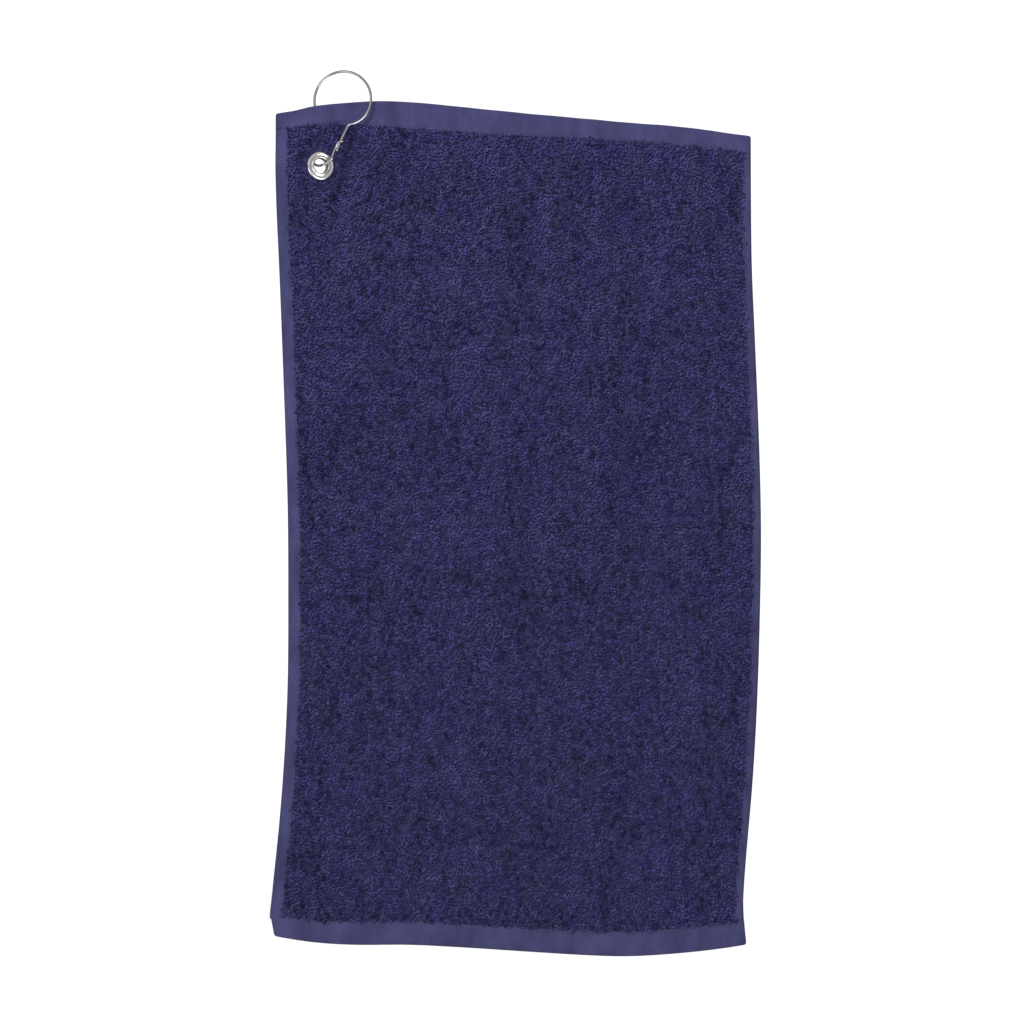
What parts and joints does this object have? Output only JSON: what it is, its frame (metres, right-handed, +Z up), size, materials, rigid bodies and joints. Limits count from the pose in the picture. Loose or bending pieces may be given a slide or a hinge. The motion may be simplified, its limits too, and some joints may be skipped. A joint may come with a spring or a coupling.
{
  "type": "golf towel with ring",
  "caption": "Small navy terry towel with sewn hems, a metal grommet near one top corner, and a spring-wire ring through it that clips the towel to a bag.",
  "frame": {"origin": "middle of the towel's flat back face", "axes": "+Z up along the towel's length, -Y out of its front face, +X to the right seen from the front"},
  "size_m": [0.2995, 0.0123, 0.5403],
  "materials": {
    "terry": "cotton loop pile, navy",
    "hem_weave": "flat cotton weave, navy, a little lighter than the pile",
    "sewing_thread": "tone-on-tone polyester thread",
    "nickel_plate": "bright nickel plate",
    "spring_wire": "bright drawn spring wire"
  },
  "bodies": {
    "upper_third": {"terry_upper": "terry", "left_hem_upper": "hem_weave", "right_hem_upper": "hem_weave", "left_upper_needle_thread": "sewing_thread", "left_upper_bobbin_thread": "sewing_thread", "right_upper_needle_thread": "sewing_thread", "right_upper_bobbin_thread": "sewing_thread", "hem_top": "hem_weave", "top_needle_thread": "sewing_thread", "top_bobbin_thread": "sewing_thread", "grommet_eyelet": "nickel_plate", "grommet_washer": "nickel_plate"},
    "middle_third": {"terry_middle": "terry", "left_hem_middle": "hem_weave", "right_hem_middle": "hem_weave", "left_middle_needle_thread": "sewing_thread", "left_middle_bobbin_thread": "sewing_thread", "right_middle_needle_thread": "sewing_thread", "right_middle_bobbin_thread": "sewing_thread"},
    "lower_third": {"terry_lower": "terry", "left_hem_lower": "hem_weave", "right_hem_lower": "hem_weave", "left_lower_needle_thread": "sewing_thread", "left_lower_bobbin_thread": "sewing_thread", "right_lower_needle_thread": "sewing_thread", "right_lower_bobbin_thread": "sewing_thread", "hem_bottom": "hem_weave", "bottom_needle_thread": "sewing_thread", "bottom_bobbin_thread": "sewing_thread"},
    "ring": {"ring_wire": "spring_wire"},
    "ring_arm": {"ring_arm": "spring_wire"}
  },
  "joints": [
    {"name": "fold_upper", "type": "hinge", "parent": "upper_third", "child": "middle_third", "pos_m": [0, -0.0082, 0.088], "axis": [-1, 0, 0], "range_deg": [0, 165]},
    {"name": "fold_lower", "type": "hinge", "parent": "middle_third", "child": "lower_third", "pos_m": [0, 0.0038, -0.084], "axis": [1, 0, 0], "range_deg": [0, 165]},
    {"name": "ring_turn", "type": "hinge", "parent": "upper_third", "child": "ring", "pos_m": [-0.11809, -0.0022, 0.22258], "axis": [-0.309, 0, -0.9511], "range_deg": [0, 80]},
    {"name": "arm_open", "type": "hinge", "parent": "ring", "child": "ring_arm", "pos_m": [-0.09952, -0.0022, 0.27974], "axis": [0, -1, 0], "range_deg": [0, 18], "stiffness_Nm_per_rad": 0.05}
  ]
}
